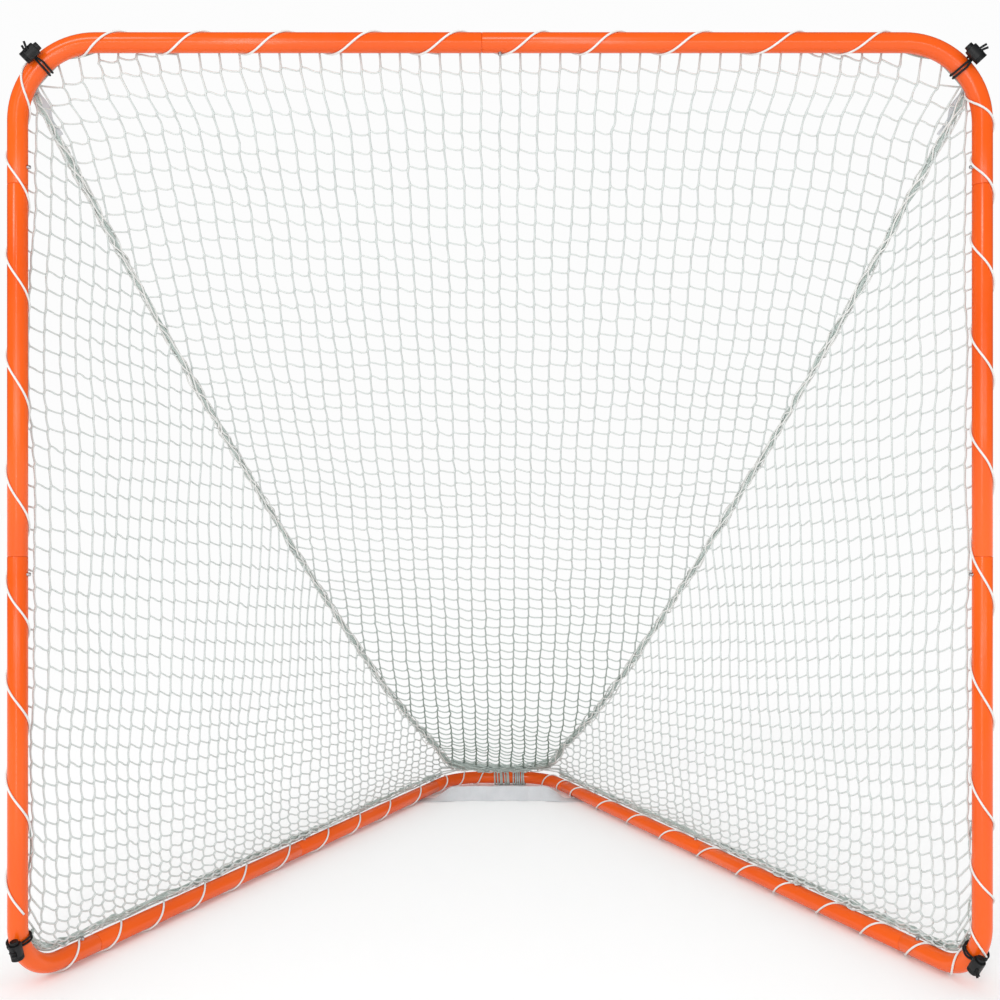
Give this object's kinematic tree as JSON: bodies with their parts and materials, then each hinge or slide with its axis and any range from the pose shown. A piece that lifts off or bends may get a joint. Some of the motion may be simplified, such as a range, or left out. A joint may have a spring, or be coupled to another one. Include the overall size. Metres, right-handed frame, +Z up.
{
  "type": "field goal with net",
  "caption": "Take-down square goal: orange tube mouth, V-shaped tube base, laced white net sloping to the rear, snap buttons and corner cord locks.",
  "frame": {"origin": "centre of the bounding box in X and Y, on the ground the goal stands on", "axes": "+Z up, the mouth faces -Y, the base and net run back to +Y, +X to the right seen from the front"},
  "size_m": [1.9242, 1.7078, 1.8645],
  "materials": {
    "orange_powder_coat": "glossy orange powder coat on steel tube",
    "spring_steel": "plain zinc-plated spring steel",
    "white_netting": "knotless braided white twine",
    "white_cord": "braided white lacing cord",
    "white_webbing": "woven white webbing",
    "black_plastic": "moulded satin black plastic",
    "black_cord": "braided black shock cord"
  },
  "bodies": {
    "frame": {"upper_left_corner_tube": "orange_powder_coat", "upper_right_corner_tube": "orange_powder_coat", "left_post_tube": "orange_powder_coat", "right_post_tube": "orange_powder_coat", "lower_left_corner_tube": "orange_powder_coat", "lower_right_corner_tube": "orange_powder_coat", "left_base_front_tube": "orange_powder_coat", "right_base_front_tube": "orange_powder_coat", "left_base_rear_tube": "orange_powder_coat", "right_base_rear_tube": "orange_powder_coat", "rear_corner_tube": "orange_powder_coat", "crossbar_leaf_spring": "spring_steel", "left_post_upper_leaf_spring": "spring_steel", "left_post_lower_leaf_spring": "spring_steel", "left_base_front_leaf_spring": "spring_steel", "left_base_middle_leaf_spring": "spring_steel", "right_post_upper_leaf_spring": "spring_steel", "right_post_lower_leaf_spring": "spring_steel", "right_base_front_leaf_spring": "spring_steel", "right_base_middle_leaf_spring": "spring_steel", "back_net": "white_netting", "left_side_net": "white_netting", "right_side_net": "white_netting", "left_seam_rope": "white_netting", "right_seam_rope": "white_netting", "crossbar_lacing": "white_cord", "left_post_lacing": "white_cord", "right_post_lacing": "white_cord", "left_base_lacing": "white_cord", "right_base_lacing": "white_cord", "left_rear_lashing": "white_cord", "right_rear_lashing": "white_cord", "net_border_webbing": "white_webbing", "rear_strap": "white_webbing", "upper_left_lock_barrel": "black_plastic", "upper_left_lock_spring": "spring_steel", "upper_left_cord_loop": "black_cord", "upper_right_lock_barrel": "black_plastic", "upper_right_lock_spring": "spring_steel", "upper_right_cord_loop": "black_cord", "lower_left_lock_barrel": "black_plastic", "lower_left_lock_spring": "spring_steel", "lower_left_cord_loop": "black_cord", "lower_right_lock_barrel": "black_plastic", "lower_right_lock_spring": "spring_steel", "lower_right_cord_loop": "black_cord"},
    "crossbar_button": {"crossbar_button": "spring_steel"},
    "left_post_upper_button": {"left_post_upper_button": "spring_steel"},
    "left_post_lower_button": {"left_post_lower_button": "spring_steel"},
    "left_base_front_button": {"left_base_front_button": "spring_steel"},
    "left_base_middle_button": {"left_base_middle_button": "spring_steel"},
    "right_post_upper_button": {"right_post_upper_button": "spring_steel"},
    "right_post_lower_button": {"right_post_lower_button": "spring_steel"},
    "right_base_front_button": {"right_base_front_button": "spring_steel"},
    "right_base_middle_button": {"right_base_middle_button": "spring_steel"},
    "upper_left_lock_plunger": {"upper_left_lock_plunger": "black_plastic"},
    "upper_right_lock_plunger": {"upper_right_lock_plunger": "black_plastic"},
    "lower_left_lock_plunger": {"lower_left_lock_plunger": "black_plastic"},
    "lower_right_lock_plunger": {"lower_right_lock_plunger": "black_plastic"}
  },
  "joints": [
    {"name": "crossbar_button_press", "type": "slide", "parent": "frame", "child": "crossbar_button", "axis": [0, 0, 1], "range_m": [0, 0.0085], "stiffness_N_per_m": 900, "springref_m": -0.004, "deforming": ["crossbar_leaf_spring"]},
    {"name": "left_post_upper_button_press", "type": "slide", "parent": "frame", "child": "left_post_upper_button", "axis": [-1, 0, 0], "range_m": [0, 0.0085], "stiffness_N_per_m": 900, "springref_m": -0.004, "deforming": ["left_post_upper_leaf_spring"]},
    {"name": "left_post_lower_button_press", "type": "slide", "parent": "frame", "child": "left_post_lower_button", "axis": [-1, 0, 0], "range_m": [0, 0.0085], "stiffness_N_per_m": 900, "springref_m": -0.004, "deforming": ["left_post_lower_leaf_spring"]},
    {"name": "left_base_front_button_press", "type": "slide", "parent": "frame", "child": "left_base_front_button", "axis": [0, 0, -1], "range_m": [0, 0.0085], "stiffness_N_per_m": 900, "springref_m": -0.004, "deforming": ["left_base_front_leaf_spring"]},
    {"name": "left_base_middle_button_press", "type": "slide", "parent": "frame", "child": "left_base_middle_button", "axis": [0, 0, -1], "range_m": [0, 0.0085], "stiffness_N_per_m": 900, "springref_m": -0.004, "deforming": ["left_base_middle_leaf_spring"]},
    {"name": "right_post_upper_button_press", "type": "slide", "parent": "frame", "child": "right_post_upper_button", "axis": [1, 0, 0], "range_m": [0, 0.0085], "stiffness_N_per_m": 900, "springref_m": -0.004, "deforming": ["right_post_upper_leaf_spring"]},
    {"name": "right_post_lower_button_press", "type": "slide", "parent": "frame", "child": "right_post_lower_button", "axis": [1, 0, 0], "range_m": [0, 0.0085], "stiffness_N_per_m": 900, "springref_m": -0.004, "deforming": ["right_post_lower_leaf_spring"]},
    {"name": "right_base_front_button_press", "type": "slide", "parent": "frame", "child": "right_base_front_button", "axis": [0, 0, -1], "range_m": [0, 0.0085], "stiffness_N_per_m": 900, "springref_m": -0.004, "deforming": ["right_base_front_leaf_spring"]},
    {"name": "right_base_middle_button_press", "type": "slide", "parent": "frame", "child": "right_base_middle_button", "axis": [0, 0, -1], "range_m": [0, 0.0085], "stiffness_N_per_m": 900, "springref_m": -0.004, "deforming": ["right_base_middle_leaf_spring"]},
    {"name": "upper_left_lock_press", "type": "slide", "parent": "frame", "child": "upper_left_lock_plunger", "axis": [-0.7193, 0, -0.6947], "range_m": [0, 0.004], "stiffness_N_per_m": 800, "springref_m": -0.004, "deforming": ["upper_left_lock_spring"]},
    {"name": "upper_right_lock_press", "type": "slide", "parent": "frame", "child": "upper_right_lock_plunger", "axis": [0.682, 0, -0.7314], "range_m": [0, 0.004], "stiffness_N_per_m": 800, "springref_m": -0.004, "deforming": ["upper_right_lock_spring"]},
    {"name": "lower_left_lock_press", "type": "slide", "parent": "frame", "child": "lower_left_lock_plunger", "axis": [0.1196, 0.2483, -0.9613], "range_m": [0, 0.004], "stiffness_N_per_m": 800, "springref_m": -0.004, "deforming": ["lower_left_lock_spring"]},
    {"name": "lower_right_lock_press", "type": "slide", "parent": "frame", "child": "lower_right_lock_plunger", "axis": [-0.2299, 0.4774, -0.848], "range_m": [0, 0.004], "stiffness_N_per_m": 800, "springref_m": -0.004, "deforming": ["lower_right_lock_spring"]}
  ]
}
